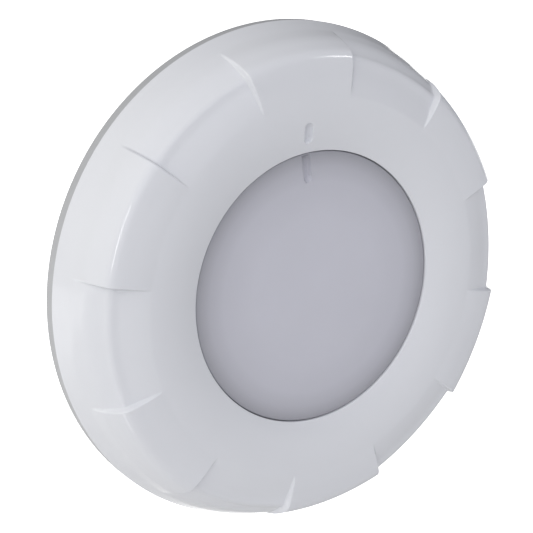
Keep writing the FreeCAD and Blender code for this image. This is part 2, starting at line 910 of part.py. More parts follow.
def leds(seat):
    """The light-emitting diodes, in three rings."""
    body = new_body("leds")
    half = dim.led_size / 2
    edge = dim.led_dome_radius
    rise = dim.led_dome_height
    dome_bend = (edge * edge + rise * rise) / (rise * 2)
    for ring, (circle, count, azimuth) in enumerate(LED_RINGS):
        sketch = section_sketch(body, f"package_{ring}_outline", azimuth, circle)
        draw_outline(sketch, box_corners(half * -1, half, seat, seat + dim.led_wall))
        package = padded(body, f"package_{ring}", sketch, dim.led_size, midplane=True)
        top = seat + dim.led_wall
        cap = [(0, top - 0.2), (edge, top - 0.2), (edge, top), bend(0, top + rise, dome_bend)]
        dome = turned(body, f"dome_{ring}", cap, azimuth=azimuth, radius=circle)
        around(body, f"ring_{ring}", [package, dome], count)


def lens():
    """The frosted window: a flat disc whose margin falls away to a clamped flange."""
    body = new_body("lens")
    seat = dim.seat_depth
    front = dim.lens_front
    pocket_front = front - dim.lens_wall
    turned(
        body,
        "window",
        [
            (0, pocket_front),
            (dim.lens_pocket_radius, pocket_front),
            (dim.lens_rim_radius, seat),
            (dim.lens_flange_radius, seat),
            (dim.lens_flange_radius, dim.lens_flange_front),
            (dim.lens_foot_radius, dim.lens_flange_front),
            bend(dim.lens_flat_radius, front, dim.lens_margin_bend),
            (0, front),
        ],
    )
    marking_groove(body, "mark", dim.lens_mark_inner_radius, dim.lens_mark_outer_radius, dim.lens_mark_floor)


def lens_clamp_ring():
    """The ring that presses the lens onto its seal."""
    back = dim.lens_flange_front
    front = back + dim.clamp_wall
    body = washer("lens_clamp_ring", dim.clamp_inner_radius, dim.clamp_outer_radius, back, front)
    shank = dim.clamp_screw_shank + 0.2
    head = dim.clamp_screw_head + 0.2
    seat = front - dim.clamp_countersink_wall
    countersink = [(0, back - 1), (shank, back - 1), (shank, seat), (head, front), (0, front)]
    hole = turned_cut(body, "sunk_hole", countersink, azimuth=15, radius=dim.clamp_screw_circle)
    around(body, "sunk_holes", [hole], 12)


# ---------------------------------------------------------------- trim ring


def trim_ring():
    """The white cover, a thin dished shell with stepped sectors, held by the second twist lock."""
    body = new_body("trim_ring")
    wall = dim.ring_wall
    rim_inner = dim.ring_radius - wall
    turned(
        body,
        "shell",
        [
            (dim.ring_radius, 0),
            (dim.ring_radius, dim.rim_depth),
            (dim.shoulder_radius, dim.shoulder_depth),
            bend(dim.brow_radius, dim.brow_depth, dim.shoulder_bend),
            bend(dim.crown_radius, dim.crown_depth, dim.crown_outer_bend),
            bend(dim.lip_crest_radius, dim.lip_crest_depth, dim.crown_inner_bend),
            bend(dim.opening_radius, dim.lip_edge_depth, dim.lip_bend),
            (dim.opening_radius, dim.lip_back_depth),
            (dim.opening_radius + 2.5, dim.lip_back_depth),
            (dim.lip_crest_radius, dim.lip_crest_depth - wall),
            (dim.crown_radius, dim.crown_depth - wall),
            (dim.skirt_radius, dim.crown_depth - wall - 1.2),
            (dim.brow_radius - 1.6, dim.brow_depth - 2.6),
            (dim.shoulder_radius - 2.6, dim.shoulder_depth - 1.5),
            (rim_inner, dim.rim_depth - 1.5),
            (rim_inner, 0),
        ],
    )
    step = dim.sector_step
    sector = turned(
        body,
        "raised_sector",
        [
            (dim.ring_radius - 5.2, dim.sector_foot_depth - 0.6),
            (dim.ring_radius - 3.5, dim.sector_foot_depth),
            (dim.shoulder_radius + step, dim.shoulder_depth + 1.5),
            bend(dim.brow_radius + step * 0.8, dim.brow_depth + step * 0.85, dim.shoulder_bend + 1),
            (dim.sector_head_radius, dim.crown_depth - 0.3),
            (dim.sector_head_radius, dim.crown_depth - 1.6),
            (dim.brow_radius - 1.4, dim.brow_depth - 0.9),
            (dim.shoulder_radius - 1.4, dim.shoulder_depth - 1),
        ],
        dim.sector_span,
        TOP,
    )
    around(body, "raised_sectors", [sector], 6)

    skirt_outer = dim.skirt_radius + dim.skirt_wall
    skirt_front = dim.crown_depth - 3.4
    turned(body, "skirt", box_corners(dim.skirt_radius, skirt_outer, dim.skirt_back, skirt_front))
    lug = turned(
        body,
        "ring_lug",
        box_corners(dim.ring_lug_radius, dim.skirt_radius + 1, dim.skirt_back, dim.ring_lug_front),
        dim.lug_span,
        TOP / 2,
    )
    around(body, "ring_lugs", [lug], 4)
    rib_sketch = section_sketch(body, "rib_outline", azimuth=7.5)
    draw_outline(
        rib_sketch,
        [
            (skirt_outer - 0.5, dim.ring_rib_back),
            (dim.shoulder_radius + 3, dim.ring_rib_back),
            (dim.shoulder_radius - 1.3, dim.shoulder_depth - 0.8),
            (dim.brow_radius - 1.4, dim.brow_depth - 1),
            (skirt_outer - 0.5, skirt_front),
        ],
    )
    rib = padded(body, "rib", rib_sketch, dim.ring_rib_wall, midplane=True)
    around(body, "ribs", [rib], 24)
    marking_groove(body, "mark", dim.mark_inner_radius, dim.mark_outer_radius, dim.mark_floor)


# ---------------------------------------------------------------- assembly


def build():
    """Makes every sub-part."""
    wall_bracket()
    housing()
    gland_body()
    gland_seal()
    gland_nut()
    gland_lock_nut()
    o_ring("gland_o_ring", dim.gland_ring_radius, dim.gland_ring_section, dim.well_floor)

    driver_board()
    driver_parts()
    driver_front = dim.driver_back + dim.driver_wall
    screw_set(
        "driver_board_screws",
        4,
        dim.driver_post_circle,
        45,
        dim.board_screw_head,
        dim.sink_screw_shank,
        driver_front,
        dim.housing_back + dim.housing_wall,
        1.8,
        False,
    )
    led_lead("led_lead_positive", dim.lead_spread)
    led_lead("led_lead_negative", dim.lead_spread * -1)

    heat_sink()
    sink_front = dim.heat_sink_back + dim.heat_sink_wall
    screw_set(
        "heat_sink_screws",
        6,
        dim.post_circle,
        30,
        dim.sink_screw_head,
        dim.sink_screw_shank,
        sink_front,
        dim.sink_screw_end,
        dim.countersink_wall,
        True,
    )
    pad_front = sink_front + dim.pad_wall
    board_front = pad_front + dim.led_board_wall
    board_layer("thermal_pad", dim.pad_radius, sink_front, pad_front)
    board_layer("led_board", dim.led_board_radius, pad_front, board_front)
    leds(board_front)
    screw_set(
        "led_board_screws",
        4,
        dim.board_screw_circle,
        45,
        dim.board_screw_head,
        dim.sink_screw_shank,
        board_front,
        dim.heat_sink_back + 0.2,
        1.6,
        False,
    )

    o_ring("lens_o_ring", dim.seal_radius, dim.seal_section, dim.seat_depth)
    lens()
    lens_clamp_ring()
    screw_set(
        "lens_clamp_screws",
        12,
        dim.clamp_screw_circle,
        15,
        dim.clamp_screw_head,
        dim.clamp_screw_shank,
        dim.lens_flange_front + dim.clamp_wall,
        dim.clamp_screw_end,
        dim.clamp_countersink_wall,
        True,
    )
    trim_ring()


def check():
    """Stops on any object that failed to compute, and on any sub-part without a sound shape."""
    for item in document.Objects:
        if {"Invalid", "Error"} & set(item.State):
            raise RuntimeError(f"{item.Label} ({item.TypeId}) failed: {item.State}")
    for node in nodes:
        if node.Shape.isNull() or not node.Shape.isValid():
            raise RuntimeError(f"{node.Label} has no valid shape")


def write():
    """Writes one STEP file per sub-part and prints what each one holds."""
    for node in nodes:
        node.Shape.exportStep(f"parts/{node.Label}.step")
        box = node.Shape.BoundBox
        print(
            f"{node.Label:22} solids {len(node.Shape.Solids):3}  volume {node.Shape.Volume:10.1f} mm3"
            f"  y {box.YMin:7.2f} to {box.YMax:6.2f}  width {box.XLength:6.1f}"
        )


build()
document.recompute()
check()
write()
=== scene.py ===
import json
import math

import bmesh
import bpy
from mathutils import Matrix, Vector


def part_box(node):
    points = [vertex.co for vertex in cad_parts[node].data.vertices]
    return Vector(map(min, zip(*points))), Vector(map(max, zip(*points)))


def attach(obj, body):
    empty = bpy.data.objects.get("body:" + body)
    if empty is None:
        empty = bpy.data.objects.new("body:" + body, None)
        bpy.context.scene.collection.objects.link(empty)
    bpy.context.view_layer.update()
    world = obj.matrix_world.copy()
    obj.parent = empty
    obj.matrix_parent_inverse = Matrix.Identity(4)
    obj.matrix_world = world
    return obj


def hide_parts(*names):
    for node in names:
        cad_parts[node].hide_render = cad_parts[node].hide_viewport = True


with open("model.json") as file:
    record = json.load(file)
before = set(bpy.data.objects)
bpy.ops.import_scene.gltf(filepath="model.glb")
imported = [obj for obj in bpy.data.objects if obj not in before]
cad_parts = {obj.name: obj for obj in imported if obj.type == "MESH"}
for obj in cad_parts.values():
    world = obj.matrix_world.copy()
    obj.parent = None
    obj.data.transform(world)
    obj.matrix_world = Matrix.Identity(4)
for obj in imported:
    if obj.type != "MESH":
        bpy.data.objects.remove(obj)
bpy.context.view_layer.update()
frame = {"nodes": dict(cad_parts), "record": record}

# Looks of a surface-mounted underwater pool light. The wall is the plane Y = 0, the light faces -Y and
# +Z is up. Sections are drawn in millimetres as (radius, distance from the wall).

MM = 0.001
TOP = 90.0
HALF_TURN, FULL_TURN = 180.0, 360.0

RING_LOW, RING_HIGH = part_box("trim_ring")
RING_RADIUS = RING_HIGH.x / MM
RING_DEPTH = -RING_LOW.y / MM
LENS_LOW, LENS_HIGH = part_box("lens")
LENS_RADIUS = LENS_HIGH.x / MM
LENS_FRONT = -LENS_LOW.y / MM
LENS_BACK = -LENS_HIGH.y / MM

# ---------------------------------------------------------------- sections

NEARLY_STRAIGHT = 1e-4
FEWEST_ARC_STEPS = 4


def fillet(before, corner, after, radius, spacing):
    """Points of the arc that rounds a corner."""
    corner = Vector(corner)
    into = (corner - Vector(before)).normalized()
    out = (Vector(after) - corner).normalized()
    turn = into.angle_signed(out)
    if abs(turn) < NEARLY_STRAIGHT or radius <= 0:
        return [corner]
    reach = radius * math.tan(abs(turn) / 2)
    start = corner - into * reach
    side = Vector((-into.y, into.x)) if turn < 0 else Vector((into.y, -into.x))
    centre = start + side * radius
    steps = max(FEWEST_ARC_STEPS, int(radius * abs(turn) / spacing))
    arm = start - centre
    points = []
    for i in range(steps + 1):
        angle = -turn * i / steps
        c, s = math.cos(angle), math.sin(angle)
        points.append(centre + Vector((arm.x * c - arm.y * s, arm.x * s + arm.y * c)))
    return points


def rounded_path(corners, spacing):
    """A smooth path through (x, y, radius) corners, sampled finely enough to shade well."""
    path = [Vector(corners[0][:2])]
    for i in range(1, len(corners) - 1):
        x, y, radius = corners[i]
        path += fillet(corners[i - 1][:2], (x, y), corners[i + 1][:2], radius, spacing)
    path.append(Vector(corners[-1][:2]))
    even = [path[0]]
    for point in path[1:]:
        gap = (point - even[-1]).length
        pieces = max(1, math.ceil(gap / (spacing * 2)))
        start = even[-1]
        even += [start.lerp(point, (k + 1) / pieces) for k in range(pieces)]
    return even


def path_normals(path):
    """The outward normal at every point of a path that runs from the rim to the lip."""
    normals = []
    for i, _ in enumerate(path):
        a = path[max(i - 1, 0)]
        b = path[min(i + 1, len(path) - 1)]
        along = (b - a).normalized()
        normals.append(Vector((along.y, -along.x)))
    return normals


def smooth(t):
    """A smooth rise from 0 to 1."""
    t = min(max(t, 0.0), 1.0)
    return t * t * t * (t * (6 * t - 15) + 10)


# ---------------------------------------------------------------- meshes

MERGE_DISTANCE = 1e-6
SHARP_ANGLE = 35.0
BEVEL_ANGLE = 30.0
BEVEL_SEGMENTS = 2
AZIMUTH_DIGITS = 4


def spin_grid(name, columns, section):
    """A surface of revolution whose section may change with the azimuth."""
    rings = [section(azimuth) for azimuth in columns]
    rows = len(rings[0])
    verts = []
    for azimuth, ring in zip(columns, rings):
        c, s = math.cos(math.radians(azimuth)), math.sin(math.radians(azimuth))
        verts += [(r * c * MM, -z * MM, r * s * MM) for r, z in ring]
    faces = []
    count = len(columns)
    for i in range(count):
        a, b = i * rows, ((i + 1) % count) * rows
        faces += [(a + j, a + j + 1, b + j + 1, b + j) for j in range(rows - 1)]
    mesh = bpy.data.meshes.new(name)
    mesh.from_pydata(verts, [], faces)
    return mesh


def finished(mesh, material):
    """Merges the seams, points the faces outward, shades smooth and makes the object."""
    bm = bmesh.new()
    bm.from_mesh(mesh)
    bmesh.ops.remove_doubles(bm, verts=bm.verts, dist=MERGE_DISTANCE)
    bmesh.ops.recalc_face_normals(bm, faces=bm.faces)
    for edge in bm.edges:
        edge.smooth = len(edge.link_faces) == 2 and edge.calc_face_angle() < math.radians(SHARP_ANGLE)
    for face in bm.faces:
        face.smooth = True
    bm.to_mesh(mesh)
    bm.free()
    piece = bpy.data.objects.new(mesh.name, mesh)
    bpy.context.scene.collection.objects.link(piece)
    mesh.materials.append(material)
    return piece


def add_prism(bm, lower, upper):
    """A closed solid between two outlines of the same number of points."""
    low = [bm.verts.new(p) for p in lower]
    high = [bm.verts.new(p) for p in upper]
    bm.faces.new(low)
    bm.faces.new(reversed(high))
    for i, _ in enumerate(low):
        j = (i + 1) % len(low)
        bm.faces.new((low[i], high[i], high[j], low[j]))


def bevelled(name, bm, width, material):
    """Rounds the edges of a mesh of solids a little and makes the object."""
    bmesh.ops.recalc_face_normals(bm, faces=bm.faces)
    sharp = [e for e in bm.edges if e.calc_face_angle(0) > math.radians(BEVEL_ANGLE)]
    bmesh.ops.bevel(
        bm, geom=sharp, offset=width * MM, segments=BEVEL_SEGMENTS, profile=0.5, affect="EDGES"
    )
    mesh = bpy.data.meshes.new(name)
    bm.to_mesh(mesh)
    bm.free()
    return finished(mesh, material)


def columns_with(fine_spots, coarse):
    """Azimuths round the circle: (centre, half width, spacing) spots are sampled finely."""
    marks = {round(i * coarse, AZIMUTH_DIGITS) for i in range(round(FULL_TURN / coarse))}
    for centre, half, spacing in fine_spots:
        marks = {m for m in marks if abs((m - centre + HALF_TURN) % FULL_TURN - HALF_TURN) >= half}
        steps = round(2 * half / spacing)
        fine = [(centre - half + i * spacing) % FULL_TURN for i in range(steps + 1)]
        marks |= {round(azimuth, AZIMUTH_DIGITS) for azimuth in fine}
    return sorted(marks)


# ---------------------------------------------------------------- trim ring

# The sectors, and how far each kind stands off the nominal shoulder at its middle and at its ends.
SECTORS = 12
SECTOR_SPAN = FULL_TURN / SECTORS
STEP_HALF_WIDTH = 0.44
RAISED_MIDDLE, RAISED_END = 1.2, 1.8
SUNK_MIDDLE, SUNK_END = -2.2, -1.5

# The corners of the nominal outer section, and the radius that rounds each.
SIDE_FOOT, FOOT_ROUND = (RING_RADIUS, 6.6), 0.7
SIDE_BEND, SIDE_ROUND = (131.9, 28.6), 34.0
SHOULDER, SHOULDER_ROUND = (125.1, 39.0), 7.0
CROWN, CROWN_ROUND = (96.4, 45.95), 64.0
LIP, LIP_ROUND = (75.1, 38.3), 0.6
OUTSIDE_SPACING = 0.5

# The inner section from the lip back to the rim, as corners with the radius that rounds each.
LIP_BACK = 35.6
RIM_INNER = RING_RADIUS - 3.0
INSIDE_CORNERS = (
    (LIP[0], LIP_BACK + 0.5, 0),
    (LIP[0] + 0.2, LIP_BACK, 0.4),
    (LIP[0] + 2.4, LIP_BACK, 0.4),
    (79.4, 37.4, 1.0),
    (102.0, 40.2, 20.0),
    (121.4, 36.2, 4.0),
    (125.2, 31.5, 3.0),
    (RIM_INNER, 5.0, 3.0),
    (RIM_INNER, 0.4, 0),
    (RIM_INNER + 0.4, 0, 0),
)
INSIDE_SPACING = 2.0

# The way in which the shoulder stands out furthest, across the light and away from the wall.
SHOULDER_WAY = (0.75, 0.66)
# The radii where a step starts and where it is whole, on the side and past the shoulder.
STEP_OUTER = (136.2, 126.5)
STEP_INNER = (103.0, 120.5)
STEP_EASE = 0.12

# The alignment groove: its inner and outer radius, width and depth. NEAR_MARK is in radians from it.
RING_MARK = (80.6, 91.6, 5.2, 2.9)
MARK_STEEPNESS = 5
NEAR_MARK = 0.2

# Half width and spacing, in degrees, of the finely sampled columns; the rest are RING_COLUMNS apart.
STEP_COLUMNS = (1.2, 0.12)
MARK_COLUMNS = (2.1, 0.14)
RING_COLUMNS = 0.75

# The rim's side takes a grey of painted shade, from the wall to this distance from it, outside this radius.
RIM_SHADE_FRONT, RIM_SHADE_FROM = SIDE_FOOT[1] - 0.2, RING_RADIUS - 0.25


def ring_outside():
    """The nominal outer section from the wall over the crown to the lip, scaled to the CAD depth."""
    path = rounded_path(
        [
            (RING_RADIUS, 0, 0),
            (*SIDE_FOOT, FOOT_ROUND),
            (*SIDE_BEND, SIDE_ROUND),
            (*SHOULDER, SHOULDER_ROUND),
            (*CROWN, CROWN_ROUND),
            (*LIP, LIP_ROUND),
            (LIP[0], LIP_BACK + LIP_ROUND, 0),
        ],
        OUTSIDE_SPACING,
    )
    peak = max(p.y for p in path)
    return [Vector((p.x, p.y * RING_DEPTH / peak)) for p in path]


def sector_lift(azimuth):
    """How far the shoulder stands out or in at an azimuth: raised and sunk sectors take turns."""
    turn = (azimuth - TOP + SECTOR_SPAN / 2) % (2 * SECTOR_SPAN)
    off_middle = (turn % SECTOR_SPAN) / SECTOR_SPAN * 2 - 1
    high = RAISED_MIDDLE + (RAISED_END - RAISED_MIDDLE) * off_middle**2
    low = SUNK_MIDDLE + (SUNK_END - SUNK_MIDDLE) * off_middle**2
    to_start = min(turn, 2 * SECTOR_SPAN - turn)
    to_end = abs(turn - SECTOR_SPAN)
    inside = turn < SECTOR_SPAN
    gap = min(to_start, to_end) * (1 if inside else -1)
    share = smooth((gap + STEP_HALF_WIDTH) / (2 * STEP_HALF_WIDTH))
    return low + (high - low) * share


def eased_ramp(t):
    """A straight rise from 0 to 1 with short curved ends."""
    t = min(max(t, 0.0), 1.0)
    slope = 1 / (1 - STEP_EASE)
    if t < STEP_EASE:
        return slope * t * t / (2 * STEP_EASE)
    if t > 1 - STEP_EASE:
        return 1 - slope * (1 - t) ** 2 / (2 * STEP_EASE)
    return slope * (t - STEP_EASE / 2)


def step_weight(r, past_shoulder):
    """How much of the step shows at a radius: it tapers towards the rim and over the crown."""
    start, end = STEP_INNER if past_shoulder else STEP_OUTER
    return eased_ramp((r - start) / (end - start))


def mark_depth(azimuth, radius, inner, outer, width, depth):
    """Depth at a point of the round-ended alignment groove at twelve o'clock."""
    half = width / 2
    turn = math.radians((azimuth - TOP + HALF_TURN) % FULL_TURN - HALF_TURN)
    if abs(turn) > NEAR_MARK:
        return 0.0
    reach = max(inner + half - radius, radius - (outer - half), 0.0)
    off = math.hypot(reach, radius * math.sin(turn)) / half
    return depth * (1 - off**MARK_STEEPNESS) if off < 1 else 0.0


def trim_ring_shell(gloss, rim):
    """The dished white cover with its stepped sectors and its alignment mark; its rim's side is grey with
    painted shade.
    """
    outside = ring_outside()
    normals = path_normals(outside)
    inside = rounded_path(INSIDE_CORNERS, INSIDE_SPACING)
    across, outward = SHOULDER_WAY
    shoulder_at = max(range(len(outside)), key=lambda i: outside[i].x * across + outside[i].y * outward)
    weights = [step_weight(p.x, i > shoulder_at) for i, p in enumerate(outside)]

    def section(azimuth):
        lift = sector_lift(azimuth)
        ring = []
        for point, normal, weight in zip(outside, normals, weights):
            off = lift * weight - mark_depth(azimuth, point.x, *RING_MARK)
            ring.append((point.x + normal.x * off, point.y + normal.y * off))
        ring += [(p.x, p.y) for p in inside]
        ring.append(ring[0])
        return ring

    spots = [(SECTOR_SPAN / 2 + i * SECTOR_SPAN, *STEP_COLUMNS) for i in range(SECTORS)]
    spots.append((TOP, *MARK_COLUMNS))
    mesh = spin_grid("trim_ring_shell", columns_with(spots, RING_COLUMNS), section)
    piece = finished(mesh, gloss)
    mesh.materials.append(rim)
    # The faces of the rim's side take the grey of painted shade.
    for face in mesh.polygons:
        x, y, z = face.center
        if math.hypot(x, z) > RIM_SHADE_FROM * MM and -y < RIM_SHADE_FRONT * MM:
            face.material_index = 1
    return piece


PLAIN_COLUMNS = 2.0
SKIRT_INNER, SKIRT_OUTER = 110.0, 112.5
SKIRT_BACK, SKIRT_FRONT = 20.0, 39.6
SKIRT_BACK_ROUND, SKIRT_FRONT_ROUND = 0.5, 0.3
SKIRT_SPACING = 1.0
LUG_INNER, LUG_OUTER, LUG_FRONT = 104.0, SKIRT_INNER + 0.6, 23.6
LUG_COUNT, LUG_FIRST, LUG_SPAN = 4, 45.0, 24.0
LUG_STEPS, LUG_BEVEL = 12, 0.4
RIB_COUNT, RIB_FIRST, RIB_THICKNESS = 24, 7.5, 2.0
RIB_BEVEL = 0.3
RIB_OUTLINE = ((111.8, 24.0), (127.6, 24.0), (125.9, 31.8), (121.8, 36.8), (111.8, 38.9))


def cover_skirt(material):
    """The round wall inside the cover that carries its lugs."""
    middle = (SKIRT_INNER + SKIRT_OUTER) / 2
    section = rounded_path(
        [
            (middle, SKIRT_BACK, 0),
            (SKIRT_OUTER, SKIRT_BACK, SKIRT_BACK_ROUND),
            (SKIRT_OUTER, SKIRT_FRONT, SKIRT_FRONT_ROUND),
            (SKIRT_INNER, SKIRT_FRONT, SKIRT_FRONT_ROUND),
            (SKIRT_INNER, SKIRT_BACK, SKIRT_BACK_ROUND),
            (middle, SKIRT_BACK, 0),
        ],
        SKIRT_SPACING,
    )
    mesh = spin_grid("cover_skirt", columns_with([], PLAIN_COLUMNS), lambda azimuth: section)
    return finished(mesh, material)


def cover_lugs(material):
    """The four short lugs that turn in behind the lamp's own."""
    bm = bmesh.new()
    for k in range(LUG_COUNT):
        first = LUG_FIRST + k * FULL_TURN / LUG_COUNT - LUG_SPAN / 2
        outline = []
        for radius, order in ((LUG_INNER, range(LUG_STEPS + 1)), (LUG_OUTER, range(LUG_STEPS, -1, -1))):
            for i in order:
                a = math.radians(first + LUG_SPAN * i / LUG_STEPS)
                outline.append((radius * math.cos(a) * MM, radius * math.sin(a) * MM))
        lower = [(x, -SKIRT_BACK * MM, z) for x, z in outline]
        upper = [(x, -LUG_FRONT * MM, z) for x, z in outline]
        add_prism(bm, lower, upper)
    return bevelled("cover_lugs", bm, LUG_BEVEL, material)


def cover_ribs(material):
    """The thin gussets that stiffen the cover between its skirt and its side wall."""
    bm = bmesh.new()
    half = RIB_THICKNESS / 2
    for k in range(RIB_COUNT):
        a = math.radians(RIB_FIRST + k * FULL_TURN / RIB_COUNT)
        c, s = math.cos(a), math.sin(a)
        sides = []
        for off in (-half, half):
            sides.append([((r * c - off * s) * MM, -z * MM, (r * s + off * c) * MM) for r, z in RIB_OUTLINE])
        add_prism(bm, *sides)
    return bevelled("cover_ribs", bm, RIB_BEVEL, material)


# ---------------------------------------------------------------- lens

LENS_CROWN = 0.6
LENS_EDGE, LENS_EDGE_ROUND = (74.7, LENS_FRONT - 0.6), 0.7
LENS_EDGE_BAND = 1.0
LENS_FLANGE, LENS_FLANGE_ROUND = LENS_FRONT - 4.2, 0.3
LENS_SEAT_INNER = 79.0
LENS_POCKET, LENS_POCKET_FRONT = 62.0, LENS_BACK + 3.3
LENS_SPACING = 1.0
# The lens's own groove, which runs out past its edge.
LENS_MARK = (59.5, 82.0, 5.2, 2.4)
LENS_MARK_COLUMNS = (3.0, 0.2)
DOME_STEPS = 60


def lens_window(material):
    """The frosted disc: a low dome that stands through the ring, on a flange behind its lip."""
    edge_radius, edge_front = LENS_EDGE
    rise = LENS_FRONT + LENS_CROWN - edge_front
    dome = []
    for i in range(DOME_STEPS):
        r = (edge_radius - LENS_EDGE_BAND) * i / DOME_STEPS
        dome.append((r, edge_front + rise * (1 - (r / edge_radius) ** 2)))
    edge = rounded_path(
        [
            dome[-1] + (0,),
            (edge_radius, edge_front, LENS_EDGE_ROUND),
            (edge_radius, LENS_FLANGE, LENS_FLANGE_ROUND),
            (LENS_RADIUS, LENS_FLANGE, LENS_FLANGE_ROUND),
            (LENS_RADIUS, LENS_BACK, LENS_FLANGE_ROUND),
            (LENS_SEAT_INNER, LENS_BACK, 0),
            (LENS_POCKET, LENS_POCKET_FRONT, 0),
            (0, LENS_POCKET_FRONT, 0),
        ],
        LENS_SPACING,
    )

    def section(azimuth):
        face = [(r, z - mark_depth(azimuth, r, *LENS_MARK)) for r, z in dome]
        return face + [(p.x, p.y) for p in edge[1:]]

    columns = columns_with([(TOP, *LENS_MARK_COLUMNS)], PLAIN_COLUMNS)
    mesh = spin_grid("lens_window", columns, section)
    return finished(mesh, material)


# ---------------------------------------------------------------- materials

NOISE_LOW, NOISE_HIGH = 0.3, 0.7
GRAIN_STRENGTH = 0.35
POLISH_LOW, POLISH_HIGH = 0.85, 1.15
COAT_ROUGHNESS = 0.05
LINE_SCALE, LINE_STRENGTH, LINE_DEPTH = 900.0, 0.25, 0.00002
LINE_DARK, LINE_LIGHT = 0.9, 1.06
LINE_ROUGH_LOW, LINE_ROUGH_HIGH = 0.75, 1.3


def material_base(name, colour, roughness, metallic=0.0):
    """A principled material and its nodes."""
    material = bpy.data.materials.new(name)
    material.use_nodes = True
    nodes, links = material.node_tree.nodes, material.node_tree.links
    shader = nodes["Principled BSDF"]
    shader.inputs["Base Color"].default_value = (*colour, 1)
    shader.inputs["Roughness"].default_value = roughness
    shader.inputs["Metallic"].default_value = metallic
    return material, nodes, links, shader


def object_coordinates(nodes):
    """The object's own coordinates, in metres."""
    return nodes.new("ShaderNodeTexCoord").outputs["Object"]


def noise(nodes, links, vector, scale, detail=3.0, stretch=None):
    """A noise value over the object's own coordinates."""
    if stretch:
        mapping = nodes.new("ShaderNodeMapping")
        mapping.inputs["Scale"].default_value = stretch
        links.new(vector, mapping.inputs["Vector"])
        vector = mapping.outputs["Vector"]
    texture = nodes.new("ShaderNodeTexNoise")
    texture.inputs["Scale"].default_value = scale
    texture.inputs["Detail"].default_value = detail
    links.new(vector, texture.inputs["Vector"])
    return texture.outputs["Fac"]


def spread(nodes, links, value, low, high):
    """Maps a noise value to a range."""
    remap = nodes.new("ShaderNodeMapRange")
    remap.inputs["From Min"].default_value = NOISE_LOW
    remap.inputs["From Max"].default_value = NOISE_HIGH
    remap.inputs["To Min"].default_value = low
    remap.inputs["To Max"].default_value = high
    links.new(value, remap.inputs["Value"])
    return remap.outputs["Result"]


def two_shades(nodes, links, value, dark, light):
    """A colour between two shades, chosen by a noise value."""
    ramp = nodes.new("ShaderNodeValToRGB")
    for element, position, colour in zip(ramp.color_ramp.elements, (NOISE_LOW, NOISE_HIGH), (dark, light)):
        element.position = position
        element.color = (*colour, 1)
    links.new(value, ramp.inputs["Fac"])
    return ramp.outputs["Color"]


def mottle(nodes, links, shader, value, dark, light):
    """Varies the base colour between two shades."""
    links.new(two_shades(nodes, links, value, dark, light), shader.inputs["Base Color"])


def relief(nodes, links, shader, value, strength, distance):
    """Bumps the surface by a value."""
    bump = nodes.new("ShaderNodeBump")
    bump.inputs["Strength"].default_value = strength
    bump.inputs["Distance"].default_value = distance
    links.new(value, bump.inputs["Height"])
    links.new(bump.outputs["Normal"], shader.inputs["Normal"])


def shade(colour, factor):
    """A colour made darker or lighter."""
    return tuple(min(1.0, c * factor) for c in colour)


def moulded(name, colour, roughness, grain, grain_depth, flow_scale, variation, coat=0.0):
    """Moulded plastic: faint flow marks in the colour, uneven polish and a fine surface grain."""
    material, nodes, links, shader = material_base(name, colour, roughness)
    place = object_coordinates(nodes)
    flow = noise(nodes, links, place, flow_scale, detail=4.0)
    mottle(nodes, links, shader, flow, shade(colour, 1 - variation), shade(colour, 1 + variation))
    polish = noise(nodes, links, place, flow_scale * 4)
    uneven = spread(nodes, links, polish, roughness * POLISH_LOW, roughness * POLISH_HIGH)
    links.new(uneven, shader.inputs["Roughness"])
    relief(nodes, links, shader, noise(nodes, links, place, grain, detail=2.0), GRAIN_STRENGTH, grain_depth)
    shader.inputs["Coat Weight"].default_value = coat
    shader.inputs["Coat Roughness"].default_value = COAT_ROUGHNESS
    return material


def brushed(name, colour, roughness, stretch):
    """Metal with fine lines along one way."""
    material, nodes, links, shader = material_base(name, colour, roughness, metallic=1.0)
    lines = noise(nodes, links, object_coordinates(nodes), LINE_SCALE, 4.0, stretch)
    mottle(nodes, links, shader, lines, shade(colour, LINE_DARK), shade(colour, LINE_LIGHT))
    uneven = spread(nodes, links, lines, roughness * LINE_ROUGH_LOW, roughness * LINE_ROUGH_HIGH)
    links.new(uneven, shader.inputs["Roughness"])
    relief(nodes, links, shader, lines, LINE_STRENGTH, LINE_DEPTH)
    return material


# The lens's painted shade, which darkens its colour from its middle, 0, to its edge, 1, where the ring's lip
# shades it.
LENS_PAINTED_SHADES = (
    (0.0, 1.0),
    (0.54, 0.98),
    (0.78, 0.91),
    (0.89, 0.80),
    (0.94, 0.70),
    (0.975, 0.62),
    (1.0, 0.58),
)
LENS_COLOUR = (0.67, 0.67, 0.745)
CLOUD_SCALE, CLOUD_DARK, CLOUD_LIGHT = 22.0, 0.975, 1.0
ETCH_SCALE, ETCH_STRENGTH, ETCH_DEPTH = 2600.0, 0.25, 0.00003
ETCH_SMOOTH, ETCH_ROUGH = 0.42, 0.6
OPAL_WEIGHT, OPAL_REACH = 0.15, (0.006, 0.006, 0.007)


def painted_lens_shade(nodes, links, place, colour):
    """The lens's colour with painted shade, darker by the distance from its axis."""
    flat = nodes.new("ShaderNodeVectorMath")
    flat.operation = "MULTIPLY"
    links.new(place, flat.inputs[0])
    flat.inputs[1].default_value = (1, 0, 1)
    reach = nodes.new("ShaderNodeVectorMath")
    reach.operation = "LENGTH"
    links.new(flat.outputs["Vector"], reach.inputs[0])
    share = nodes.new("ShaderNodeMath")
    share.operation = "DIVIDE"
    links.new(reach.outputs["Value"], share.inputs[0])
    share.inputs[1].default_value = LENS_EDGE[0] * MM
    ramp = nodes.new("ShaderNodeValToRGB")
    elements = ramp.color_ramp.elements
    elements[0].position, elements[1].position = LENS_PAINTED_SHADES[0][0], LENS_PAINTED_SHADES[-1][0]
    for position, _ in LENS_PAINTED_SHADES[1:-1]:
        elements.new(position)
    for element, (_, factor) in zip(elements, LENS_PAINTED_SHADES):
        element.color = (*shade(colour, factor), 1)
    links.new(share.outputs["Value"], ramp.inputs["Fac"])
    return ramp.outputs["Color"]


